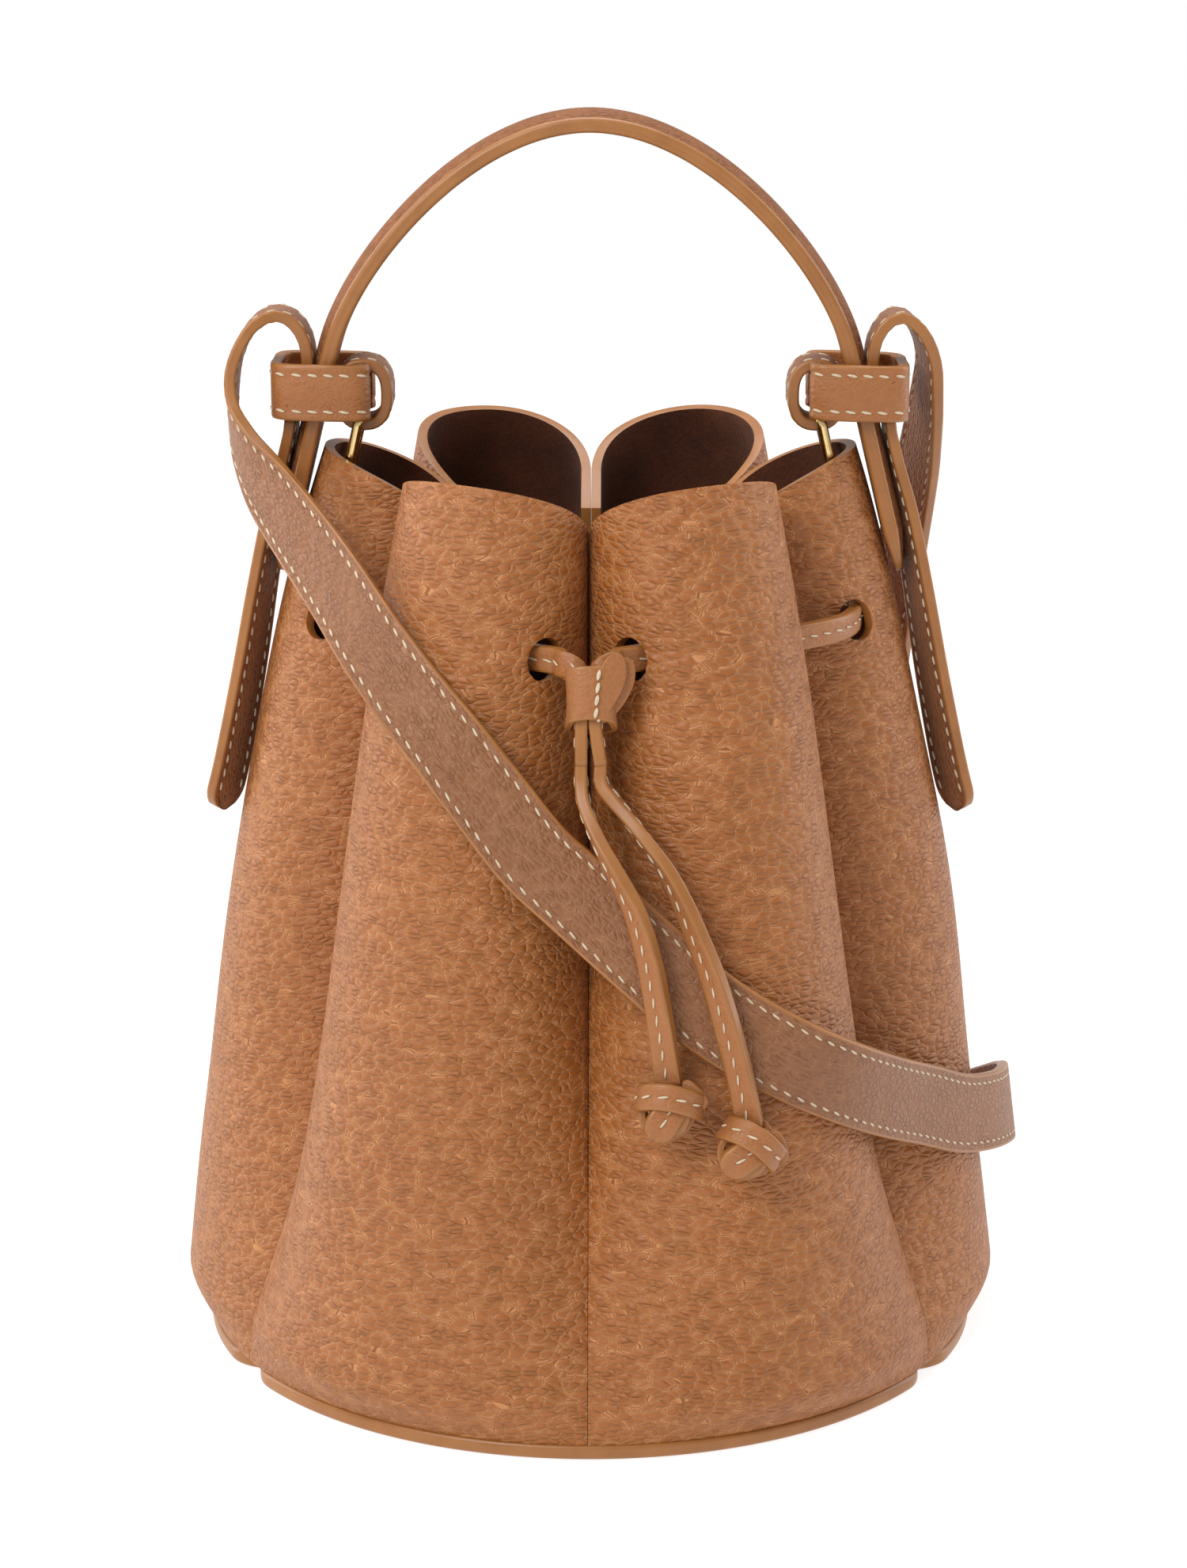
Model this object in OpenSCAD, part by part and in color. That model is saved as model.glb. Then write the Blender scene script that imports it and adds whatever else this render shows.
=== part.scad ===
// Bucket bag of six leather petals round a stiff base, with a drawstring lace,
// a carrying handle and a shoulder strap knotted to two metal rings.
// Z is up, the bag stands on z = 0 and its front fold faces -Y.

/* [Body] */
// Radius of the sole
sole_r = 80; // [60:1:110]
// Thickness of the sole
sole_t = 3; // [2:0.5:5]
// Depth of the notches in the sole's edge under the four side folds
sole_notch = 4; // [0:0.5:6]
// Height of the rim at the folds between two petals
fold_h = 172.6; // [140:0.2:260]
// Rise of each petal's rim above its folds
petal_rise = 11.3; // [4:0.1:20]
// How far the belly of the body stands out past the sole
belly_out = 4.6; // [1:0.2:8]
// Height at which the body is widest
belly_h = 12; // [8:1:20]
// Outer radius of the petals at the height of the folds' rim
rim_r = 56.4; // [46:0.2:80]
// Radius at which two petals meet at the rim
rim_fold_r = 33; // [26:0.5:46]
// Depth of the pressed fold behind the meeting line at the rim
rim_fold_depth = 10; // [4:0.5:14]
// Thickness of the body leather
leather_t = 2; // [1.2:0.1:3]

/* [Base] */
// Thickness of the stiff board on the sole
board_t = 2; // [1:0.5:4]
// Thickness of the suede insole
insole_t = 1.2; // [0.8:0.2:3]

/* [Drawstring] */
// Width of the lace
lace_w = 5; // [3:0.5:6]
// Thickness of the lace
lace_t = 2.4; // [1.6:0.2:3]
// Depth of the lace holes below the rim's folds
lace_drop = 21.1; // [14:0.1:40]
// Radius of a lace hole
lace_hole_r = 4.1; // [3.5:0.1:5]
// Length of the keeper along the laces
keeper_l = 12; // [8:0.5:14]
// Thickness of the keeper's leather
keeper_t = 1.3; // [1:0.1:2]
// How far the keeper slides down before the laces part
keeper_travel = 4; // [2:0.5:4]

/* [Handle] */
// Width of the handle
handle_w = 15; // [10:1:20]
// Thickness of the handle
handle_t = 3.4; // [2.5:0.1:5]
// Rise of the handle's centre line over the rim's folds
handle_rise = 74.7; // [60:0.1:120]
// Rise of the handle's flexing point over the rim's folds
handle_flex_rise = 32.4; // [31.4:0.1:34]

/* [Rings] */
// Diameter of the ring wire
wire_d = 2.1; // [1.6:0.1:2.4]
// Height of a ring from the middle of its bar to the middle of its top
ring_h = 15.6; // [15.2:0.1:16]
// Lean of the rings towards the middle of the bag, in degrees
ring_lean = 13; // [8:1:15]

/* [Strap] */
// Width of the strap at its knots
strap_end_w = 11; // [8:0.5:11.5]
// Width of the strap along its middle
strap_w = 16; // [12:0.5:18]
// Thickness of the strap
strap_t = 2; // [1.6:0.1:2.4]

/* [Hidden] */
petal_names = ["petal_right", "petal_back_right", "petal_back_left",
               "petal_left", "petal_front_left", "petal_front_right"];
$fn = 64;

tan_leather = [0.72, 0.45, 0.25];
strap_leather = [0.59, 0.42, 0.32];
edge_paint = [0.75, 0.51, 0.31];
suede = [0.31, 0.16, 0.08];
gold = [0.85, 0.68, 0.35];

// Clearance between leather pieces that lie against each other
gap = 0.1;
// Clearance between pieces that move past each other
running = 0.3;
petal_step = 60;

// ---- small vector helpers ----
function unit(v) = v / norm(v);
function mix(a, b, t) = a + (b - a) * t;
function across(w, t) = unit(w - (w * t) * t);

// ---- body section: six arcs that meet on the lines half way between petals ----
lace_h = fold_h - lace_drop;
function body_s(z) = (z - belly_h) / (fold_h - belly_h);
function belly_r() = sole_r + belly_out;
function foot_r() = sole_r - 0.5;
function curl(z) = sin(90 * (z - sole_t) / (belly_h - sole_t));
function petal_r(z) = z < belly_h
    ? mix(foot_r(), belly_r(), curl(z))
    : belly_r() - (belly_r() - rim_r) * (0.69 * body_s(z) + 0.31 * pow(body_s(z), 3));
function fold_r(z) = z < belly_h
    ? foot_r() - (z - sole_t) / (belly_h - sole_t)
    : mix(foot_r() - 1, rim_fold_r, 1 - pow(max(0, 1 - body_s(z)), 1.4));
function fold_depth(z) = mix(leather_t + 1.2, rim_fold_depth, max(0, min(1, body_s(z))));
function arc_centre(z) = let (p = petal_r(z), f = fold_r(z))
    (p * p - f * f) / (2 * (p - f * cos(30)));
function arc_r(z) = petal_r(z) - arc_centre(z);
function arc_end(z, r, off) = acos((off - arc_centre(z) / 2) / r) - 60;
function rim_z(u) = fold_h + petal_rise * (1 - pow(abs(u), 2.2));

// One point of a petal's section. u runs from -1 to 1 round the arc and on to
// -(1 + fold) and 1 + fold down the pressed fold; inset is the depth into the leather.
function section_point(u, z, inset) = let (
        r = arc_r(z) - inset,
        off = gap / 2 + inset,
        end = arc_end(z, r, off),
        side = u < 0 ? -1 : 1,
        a = min(abs(u), 1) * end,
        corner = [arc_centre(z) + r * cos(end), r * sin(end)],
        reach = corner * [cos(30), sin(30)],
        inner = fold_r(z) - fold_depth(z),
        down = max(0, abs(u) - 1) * max(0, reach - inner))
    abs(u) <= 1
        ? [arc_centre(z) + r * cos(a), side * r * sin(a)]
        : [corner[0] - down * cos(30), side * (corner[1] - down * sin(30))];

arc_steps = 18;
fold_steps = 2;
columns = concat([for (i = [fold_steps:-1:1]) -1 - i / fold_steps],
                 [for (i = [0:arc_steps]) -1 + 2 * i / arc_steps],
                 [for (i = [1:fold_steps]) 1 + i / fold_steps]);
curl_rows = 3;
wall_rows = 9;
function column_top(u) = rim_z(min(abs(u), 1)) - 6.5 * max(0, abs(u) - 1) * rim_fold_depth / 10;
function row_z(u, j) = j <= curl_rows
    ? mix(sole_t, belly_h, j / curl_rows)
    : mix(belly_h, column_top(u), (j - curl_rows) / wall_rows);
rows = curl_rows + wall_rows;

module wall_solid() {
    nc = len(columns);
    nr = rows + 1;
    outer = [for (j = [0:rows]) for (u = columns) let (z = row_z(u, j))
        [section_point(u, z, 0)[0], section_point(u, z, 0)[1], z]];
    inner = [for (j = [0:rows]) for (u = columns) let (z = row_z(u, j))
        [section_point(u, z, leather_t)[0], section_point(u, z, leather_t)[1], z]];
    n = nc * nr;
    quads = concat(
        [for (j = [0:rows - 1]) for (i = [0:nc - 2])
            [j * nc + i, (j + 1) * nc + i, (j + 1) * nc + i + 1, j * nc + i + 1]],
        [for (j = [0:rows - 1]) for (i = [0:nc - 2])
            [n + j * nc + i, n + j * nc + i + 1, n + (j + 1) * nc + i + 1, n + (j + 1) * nc + i]],
        [for (i = [0:nc - 2]) [i, i + 1, n + i + 1, n + i]],
        [for (i = [0:nc - 2]) let (k = rows * nc + i) [k, n + k, n + k + 1, k + 1]],
        [for (j = [0:rows - 1]) [j * nc, n + j * nc, n + (j + 1) * nc, (j + 1) * nc]],
        [for (j = [0:rows - 1]) let (k = nc - 1)
            [j * nc + k, (j + 1) * nc + k, n + (j + 1) * nc + k, n + j * nc + k]]);
    polyhedron(concat(outer, inner),
        [for (q = quads) each [[q[0], q[1], q[2]], [q[0], q[2], q[3]]]], convexity = 8);
}

// Angle of a lace hole round its petal's arc: the side petals' holes sit nearer their middle
front_hole_a = 68;
side_hole_a = 56;
function hole_a(k) = k % 3 == 0 ? side_hole_a : front_hole_a;
module petal(k) {
    color(tan_leather)
    rotate([0, 0, petal_step * k])
    difference() {
        wall_solid();
        for (side = [-1, 1])
            translate([arc_centre(lace_h), 0, lace_h])
            rotate([0, 90, side * hole_a(k)])
            translate([0, 0, arc_r(lace_h) / 2])
            cylinder(r = lace_hole_r, h = arc_r(lace_h));
    }
}

// ---- base ----
notch_half = 6;
function near_side_fold(a) = min([for (f = [30, 150, 210, 330]) abs(a - f)]);
function sole_edge(a) = sole_r - sole_notch * pow(max(0, 1 - near_side_fold(a) / notch_half), 2);
module sole() {
    color(edge_paint)
    linear_extrude(sole_t)
    polygon([for (a = [0:3:357]) sole_edge(a) * [cos(a), sin(a)]]);
}
base_top = sole_t + board_t + insole_t;
function inside_r() = fold_r(base_top) - fold_depth(base_top) - gap;
module base_board() {
    color("saddlebrown")
    translate([0, 0, sole_t]) cylinder(r = inside_r(), h = board_t, $fn = 120);
}
module insole() {
    color(suede)
    translate([0, 0, sole_t + board_t]) cylinder(r = inside_r() - 0.5, h = insole_t, $fn = 120);
}

// ---- flat leather strips bent along a path in the XZ plane ----
function path_dir(p, i) = unit(p[min(i + 1, len(p) - 1)] - p[max(i - 1, 0)]);
function path_side(p, i) = let (d = path_dir(p, i)) [-d[1], d[0]];
function strip_outline(p, t) = concat(
    [for (i = [0:len(p) - 1]) p[i] + path_side(p, i) * t / 2],
    [for (i = [len(p) - 1:-1:0]) p[i] - path_side(p, i) * t / 2]);
module bent_strip(p, t, w) {
    rotate([90, 0, 0])
    linear_extrude(w, center = true)
    polygon(strip_outline(p, t));
}

// ---- handle: two stitched ends and an arch that flexes above the knots ----
// How far the foot of a handle's end stands off its side petal
leg_standoff = 1.9;
leg_foot = [petal_r(fold_h - 14.6) + leg_standoff, fold_h - 14.6];
leg_top = [rim_r - 5, fold_h + 29.9];
handle_top = fold_h + handle_rise;
leg_dir = unit(leg_top - leg_foot);
function leg_at(z) = leg_foot + leg_dir * (z - leg_foot[1]) / leg_dir[1];
arch_lead = 17;
arch_flat = 24;
arch_steps = 24;
function bezier(a, b, c, d, t) = a * pow(1 - t, 3) + b * 3 * t * pow(1 - t, 2)
    + c * 3 * t * t * (1 - t) + d * pow(t, 3);
arch_half = [for (i = [1:arch_steps])
    bezier(leg_top, leg_top + leg_dir * arch_lead, [arch_flat, handle_top], [0, handle_top],
           i / arch_steps)];
function flip(p) = [-p[0], p[1]];
knuckle_z = fold_h + handle_flex_rise;
arch_path = concat([leg_at(knuckle_z - handle_w / 2), leg_at(leg_top[1] - 1)], arch_half,
    [for (i = [arch_steps - 2:-1:0]) flip(arch_half[i])],
    [flip(leg_at(leg_top[1] - 1)), flip(leg_at(knuckle_z - handle_w / 2))]);
module knuckle(r) {
    translate([-100, 0, knuckle_z]) rotate([0, 90, 0]) cylinder(r = r, h = 200);
}
module handle() {
    color(tan_leather)
    intersection() {
        bent_strip(arch_path, handle_t, handle_w);
        union() {
            knuckle(handle_w / 2);
            translate([-100, -handle_w, knuckle_z]) cube([200, handle_w * 2, handle_top]);
        }
    }
}
leg_end_z = fold_h + 26.4;
module handle_end(side) {
    color(tan_leather)
    mirror([side < 0 ? 1 : 0, 0, 0])
    difference() {
        bent_strip([leg_foot, leg_at((leg_foot[1] + leg_end_z) / 2), leg_at(leg_end_z)], handle_t, handle_w);
        knuckle(handle_w / 2 + running);
    }
}

// ---- rings and the tabs that hold them inside the side petals ----
ring_bar = [rim_r - 7.6, fold_h + 3.7];
ring_half_w = strap_end_w / 2 + wire_d / 2 + 1;
bar_corner = 1.5;
top_corner = 3;
bore_clear = 0.1;
module wire_corner(y, z, r, turn) {
    translate([0, y, z]) rotate([turn, 0, 0]) rotate([0, 90, 0]) rotate([0, 0, 90])
    rotate_extrude(angle = 90) translate([r, 0]) circle(d = wire_d, $fn = 32);
}
module wire_run(y, z, length, upright) {
    translate([0, y, z]) rotate([upright ? 0 : -90, 0, 0]) cylinder(d = wire_d, h = length, $fn = 32);
}
module ring(side) {
    color(gold)
    mirror([side < 0 ? 1 : 0, 0, 0])
    translate([ring_bar[0], 0, ring_bar[1]])
    rotate([0, -ring_lean, 0]) {
        wire_run(-(ring_half_w - bar_corner), 0, 2 * (ring_half_w - bar_corner), false);
        wire_run(-(ring_half_w - top_corner), ring_h, 2 * (ring_half_w - top_corner), false);
        for (s = [-1, 1]) {
            wire_run(s * ring_half_w, bar_corner, ring_h - bar_corner - top_corner, true);
            mirror([0, s < 0 ? 1 : 0, 0]) {
                wire_corner(ring_half_w - bar_corner, bar_corner, bar_corner, -90);
                wire_corner(ring_half_w - top_corner, ring_h - top_corner, top_corner, 0);
            }
        }
    }
}
tab_w = 9.4;
tab_wrap_t = 1.3;
tab_strip_t = 2.6;
tab_drop = 19;
tab_lean = 15;
module ring_tab(side) {
    wrap_r = wire_d / 2 + bore_clear + tab_wrap_t;
    color(tan_leather)
    mirror([side < 0 ? 1 : 0, 0, 0])
    translate([ring_bar[0], 0, ring_bar[1]])
    difference() {
        union() {
            rotate([90, 0, 0]) cylinder(r = wrap_r, h = tab_w, center = true);
            rotate([0, -tab_lean, 0])
            translate([wrap_r - tab_strip_t, -tab_w / 2, -tab_drop]) cube([tab_strip_t, tab_w, tab_drop]);
        }
        rotate([90, 0, 0]) cylinder(r = wire_d / 2 + bore_clear, h = tab_w + 2, center = true);
    }
}

// ---- swept flat leather: centre points with the direction across the width ----
function spline(a, b, c, d, t) = 0.5 * (2 * b + (c - a) * t
    + (2 * a - 5 * b + 4 * c - d) * t * t + (3 * b - a - 3 * c + d) * t * t * t);
function fine(p, n) = [for (i = [0:len(p) - 2]) for (k = [0:i == len(p) - 2 ? n : n - 1])
    spline(p[max(i - 1, 0)], p[i], p[i + 1], p[min(i + 2, len(p) - 1)], k / n)];
function tangent(p, i) = unit(p[min(i + 1, len(p) - 1)] - p[max(i - 1, 0)]);
function section_ring(p, w, half_w, half_t, n, i) = let (
        t = tangent(p, i), a = across(w[i], t), b = cross(a, t))
    [for (k = [0:n - 1]) let (c = cos(360 * (k + 0.5) / n), s = sin(360 * (k + 0.5) / n),
            q = n == 4 ? sqrt(2) : 1)
        p[i] + a * c * q * half_w + b * s * q * half_t];
// p: points, w: directions across, half_w: one half width for each point
module swept(p, w, half_w, half_t, n) {
    m = len(p);
    pts = [for (i = [0:m - 1]) each section_ring(p, w, half_w[i], half_t, n, i)];
    polyhedron(pts, concat(
        [for (i = [0:m - 2]) for (k = [0:n - 1]) let (k2 = (k + 1) % n)
            each [[i * n + k, i * n + k2, (i + 1) * n + k2],
                  [i * n + k, (i + 1) * n + k2, (i + 1) * n + k]]],
        [for (k = [1:n - 2]) [0, k + 1, k]],
        [for (k = [1:n - 2]) [(m - 1) * n, (m - 1) * n + k, (m - 1) * n + k + 1]]),
        convexity = 10);
}

// ---- drawstring ----
keeper_tilt = 12;
keeper_axis = [0, -sin(keeper_tilt), -cos(keeper_tilt)];
// How far the keeper's middle stands in front of the two front lace holes
keeper_proud = 6.5;
keeper_top = [0, hole_point(4, 1)[1] - keeper_proud, lace_h - 2];
lace_x = lace_t / 2 + 0.1;
function down_keeper(x, d) = keeper_top + [x, 0, 0] + keeper_axis * d;
laces_part = keeper_l + keeper_travel + 0.6;
drift = 1.1;
up = [0, 0, 1];
back = [0, 1, 0];
function hole_point(k, side) = let (a = petal_step * k + side * hole_a(k), b = petal_step * k,
        c = arc_centre(lace_h), r = arc_r(lace_h) - leather_t / 2)
    [c * cos(b) + r * cos(a), c * sin(b) + r * sin(a), lace_h];
// Round the bag from the front left petal, clockwise seen from above
walk = [for (j = [0:5]) each [hole_point(4 - j + (j > 4 ? 6 : 0), 1), hole_point(4 - j + (j > 4 ? 6 : 0), -1)]];
lace_pts = concat(
    [down_keeper(-lace_x, laces_part), down_keeper(-lace_x, keeper_l * 0.7), down_keeper(-lace_x, 2),
     down_keeper(-lace_x, -1.5), keeper_top + [-4.2, 1.8, 2.8]],
    walk,
    [keeper_top + [4.4, 1.8, 2.8], down_keeper(lace_x, -1.5), down_keeper(lace_x, 2),
     down_keeper(lace_x, keeper_l * 0.7), down_keeper(lace_x + drift, laces_part)]);
lace_across = concat([back, back, back, unit([0, 0.9, 0.4]), unit([0, 0.45, 0.9])],
    [for (i = [0:11]) up],
    [unit([0, 0.45, 0.9]), unit([0, 0.9, 0.4]), back, back, back]);
function same(v, n) = [for (i = [1:n]) v];
module lace() {
    p = fine(lace_pts, 3);
    color(tan_leather) swept(p, fine(lace_across, 3), same(lace_w / 2, len(p)), lace_t / 2, 4);
}
// Free ends: they swing at a point half a lace's width below the end of the run above,
// and their tops are round about it
swing_d = laces_part + running + 0.2 + lace_w / 2;
function end_top(x) = [for (h = [-0.48, -0.35, -0.18]) down_keeper(x, swing_d + h * lace_w)];
end_left_pts = concat(end_top(-lace_x), [down_keeper(-lace_x, swing_d)],
    [[-0.8, -63.8, 126.8], [0.5, -66.2, 123.3], [2.4, -68.8, 119.6], [4.8, -71, 115.6], [7.2, -72.5, 111.4],
     [9.3, -73.6, 106.8], [11.4, -74.6, 99.6], [13, -75.2, 91], [14.3, -75.5, 82.5], [15.3, -76.4, 75]]);
end_right_pts = concat(end_top(lace_x + drift), [down_keeper(lace_x + drift, swing_d)],
    [[4.6, -63.3, 127.3], [7.6, -65.3, 124], [11, -67.6, 120], [14.4, -69.7, 115.5], [17.4, -71.5, 110],
     [20.3, -73.2, 103.5], [23.3, -74.7, 96], [25.6, -75.5, 88.5], [28.2, -76, 78.5], [30.7, -77, 67]]);
function end_across(n) = [for (i = [0:n - 1]) let (a = 75 * max(0, (i - 4) / (n - 5)))
    [-sin(a), cos(a), 0]];
function end_half(n) = [for (i = [0:n - 1]) lace_w / 2 * (i > 2 ? 1 : [0.3, 0.72, 0.93][i])];
module lace_end(pts) {
    p = fine(pts, 3);
    color(tan_leather)
    swept(p, fine(end_across(len(pts)), 3), fine(end_half(len(pts)), 3), lace_t / 2, 8);
}
knot_r = 5;
knot_l = 13;
knot_steps = 8;
knot_gap = 0.2;
module lace_knot(pts) {
    color(tan_leather)
    translate(pts[len(pts) - 1] - [0, 0, knot_gap])
    rotate_extrude($fn = 24)
    polygon(concat([[0, 0]],
        [for (i = [1:knot_steps]) let (a = 180 * i / (knot_steps + 1))
            [knot_r * pow(sin(a), 0.7), -knot_l * (1 - cos(a)) / 2]],
        [[0, -knot_l]]));
}
// The keeper: a leather loop round both laces whose two ends are stitched into a tab
keeper_left = lace_x + lace_t / 2 + running;
keeper_right = keeper_left + drift;
keeper_half_y = lace_w / 2 + running;
tab_l = 8;
tab_gap_h = 1;
keeper_tab_t = 3.2;
module keeper() {
    color(tan_leather)
    translate(keeper_top) rotate([-keeper_tilt, 0, 0]) translate([0, 0, -keeper_l]) {
        difference() {
            translate([-keeper_left - keeper_t, -keeper_half_y - keeper_t, 0])
            cube([keeper_left + keeper_right + 2 * keeper_t, 2 * (keeper_half_y + keeper_t), keeper_l]);
            translate([-keeper_left, -keeper_half_y, -1])
            cube([keeper_left + keeper_right, 2 * keeper_half_y, keeper_l + 2]);
        }
        translate([keeper_right + keeper_t, -keeper_half_y, tab_gap_h])
        rotate([0, -12, -28])
        cube([tab_l, keeper_tab_t, keeper_l - tab_gap_h]);
    }
}

// ---- shoulder strap ----
strap_pts = [
    [-57, 0, 192], [-56, 0, 198], [-56.3, 0, 204.2], [-58.6, -0.3, 208.4], [-62.2, -0.8, 210],
    [-66.4, -1.8, 208], [-69.6, -3, 203], [-71, -4.2, 197], [-70.6, -6, 190.5], [-68.6, -9.5, 185],
    [-65.2, -14, 180], [-60.5, -21, 175], [-54, -31, 168.5], [-47.6, -41, 161.8], [-41, -50.5, 154],
    [-33.2, -57.6, 145], [-25.2, -62.6, 136], [-17.7, -64.8, 126.5], [-10.1, -66.4, 117],
    [-1.9, -67.6, 109.6], [5.5, -68.8, 103], [13, -69.8, 96.3], [21.2, -70.8, 89.1], [29.5, -71.2, 83.4],
    [39.2, -70.4, 77.8], [49.6, -63.9, 71.2], [58.8, -51, 63.8], [67, -36.8, 57], [75.9, -22.5, 50],
    [83.6, -8, 45.5], [87.8, 6, 42], [88.9, 20, 38], [87, 34, 32], [81.5, 48, 25], [72, 62, 18],
    [60, 74, 13], [45, 84, 10], [28, 91, 9], [10, 94.5, 8.8], [-8, 95.5, 8.8], [-26, 94, 8.8],
    [-44, 91, 8.8], [-60, 89.5, 8.8], [-72, 92, 8.8], [-78.5, 99.5, 8.8], [-75.5, 108.5, 8.8],
    [-65, 112.5, 8.8], [-48, 112, 8.8], [-28, 110, 8.8], [-6, 109, 8.8], [16, 107.5, 8.8],
    [32, 105, 9.1], [45.5, 99.5, 11.3], [54.5, 91.5, 17.5], [58.5, 82, 29], [59.8, 73, 44],
    [60.2, 65.8, 61], [60.2, 59.4, 79], [60.4, 53, 97], [61, 46.5, 115], [62.3, 40, 132],
    [64, 33, 148], [65.6, 25.6, 162], [66.9, 18, 174.5], [67.5, 11, 184.5], [67.8, 6, 193],
    [67.6, 3.2, 200.5],
    [65.4, 1.6, 206.4], [62, 1, 209.4], [58.8, 0.5, 208.4], [56.3, 0.1, 204.2], [56, 0, 198],
    [57, 0, 192]];
strap_across = concat(
    same([0, 1, 0], 8),
    [[-0.15, 0.98, -0.1], [-0.4, 0.87, -0.25], [-0.6, 0.68, -0.42], [-0.7, 0.4, -0.55],
     [-0.7, 0.1, -0.65], [-0.68, 0, -0.7]],
    same([-0.64, -0.1, -0.76], 8),
    same([-0.52, -0.14, -0.84], 3),
    [[-0.4, -0.18, -0.9], [-0.28, -0.25, -0.93], [-0.2, -0.3, -0.94], [-0.12, -0.3, -0.95],
     [0, -0.28, -0.96], [0.1, -0.26, -0.96], [0.1, -0.2, -0.97], [0.1, -0.1, -1]],
    same([0, 0, -1], 19),
    [[0.15, 0, -0.98], [0.4, -0.15, -0.9], [0.6, -0.4, -0.65], [0.66, -0.6, -0.4],
     [0.68, -0.7, -0.2], [0.7, -0.72, 0], [0.7, -0.72, 0], [0.68, -0.73, 0], [0.65, -0.76, 0],
     [0.6, -0.8, 0], [0.54, -0.84, 0], [0.46, -0.88, 0], [0.38, -0.92, 0], [0.3, -0.95, 0],
     [0.2, -0.98, 0], [0.12, -1, 0], [0.05, -1, 0], [0, -1, 0], [0, -1, 0], [0, -1, 0],
     [0, -1, 0]]);
// Share of the full width reached a number of points away from the nearer end
widening = 20;
function ease(t) = t * t * (3 - 2 * t);
function strap_half(i, n) = let (k = min(1, min(i, n - 1 - i) / widening))
    mix(strap_end_w, strap_w, ease(k)) / 2;
module strap() {
    half = [for (i = [0:len(strap_pts) - 1]) strap_half(i, len(strap_pts))];
    color(strap_leather)
    swept(fine(strap_pts, 2), fine(strap_across, 2), fine(half, 2), strap_t / 2, 4);
}
// Knots: a loop through the ring, a wrap round the handle and the strap, and a tail
loop_mid = ring_bar + [-3.9, 18];
loop_half = [5.6, 7];
loop_power = 2.5;
function round_point(a, hx, hz) = [hx * sign(cos(a)) * pow(abs(cos(a)), 2 / loop_power),
                                   hz * sign(sin(a)) * pow(abs(sin(a)), 2 / loop_power)];
module oval(hx, hz) { polygon([for (a = [0:10:350]) round_point(a, hx, hz)]); }
module strap_loop(side) {
    color(strap_leather)
    mirror([side < 0 ? 1 : 0, 0, 0])
    translate([loop_mid[0], 0, loop_mid[1]]) rotate([90, 0, 0])
    linear_extrude(strap_end_w, center = true)
    difference() {
        oval(loop_half[0], loop_half[1]);
        oval(loop_half[0] - strap_t, loop_half[1] - strap_t);
    }
}
wrap_x = [rim_r - 12.2, rim_r + 6.2];
wrap_z = fold_h + 17.9;
wrap_half_y = handle_w / 2 + 0.9;
tail_x = wrap_x[1] - 1.5 * strap_t - 0.2;
module strap_wrap(side) {
    color(strap_leather)
    mirror([side < 0 ? 1 : 0, 0, 0])
    translate([0, 0, wrap_z]) linear_extrude(strap_end_w)
    difference() {
        translate([wrap_x[0], -wrap_half_y - strap_t])
        square([wrap_x[1] - wrap_x[0], 2 * (wrap_half_y + strap_t)]);
        translate([wrap_x[0] - 1, -wrap_half_y]) square([tail_x - strap_t / 2 - wrap_x[0] + 1, 2 * wrap_half_y]);
    }
}
tail_top = wrap_z - running - strap_t / 2 + 0.4;
tail_path = concat([[tail_x, tail_top], [tail_x + 0.2, tail_top - 3]],
    [[rim_r + 4.6, fold_h + 7.4], [rim_r + 7, fold_h - 2.6]],
    [for (q = [[5.1, 17.6], [4.1, 35.6], [4.1, 54.6], [4.9, 64.6]])
        [petal_r(fold_h - q[1]) + q[0], fold_h - q[1]]]);
module strap_tail(side) {
    color(strap_leather)
    mirror([side < 0 ? 1 : 0, 0, 0])
    bent_strip(fine(tail_path, 4), strap_t, strap_end_w);
}

sole();
base_board();
insole();
petal(0);  // petal_right
petal(1);  // petal_back_right
petal(2);  // petal_back_left
petal(3);  // petal_left
petal(4);  // petal_front_left
petal(5);  // petal_front_right
ring(-1);  // ring_left
ring(1);  // ring_right
ring_tab(-1);  // ring_tab_left
ring_tab(1);  // ring_tab_right
handle();
handle_end(-1);  // handle_end_left
handle_end(1);  // handle_end_right
lace();
lace_end(end_left_pts);  // lace_end_left
lace_end(end_right_pts);  // lace_end_right
lace_knot(end_left_pts);  // lace_knot_left
lace_knot(end_right_pts);  // lace_knot_right
keeper();
strap();
strap_loop(-1);  // strap_loop_left
strap_loop(1);  // strap_loop_right
strap_wrap(-1);  // strap_wrap_left
strap_wrap(1);  // strap_wrap_right
strap_tail(-1);  // strap_tail_left
strap_tail(1);  // strap_tail_right
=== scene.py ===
import math
import bmesh
import bpy
from mathutils import Matrix, Vector, noise


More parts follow.
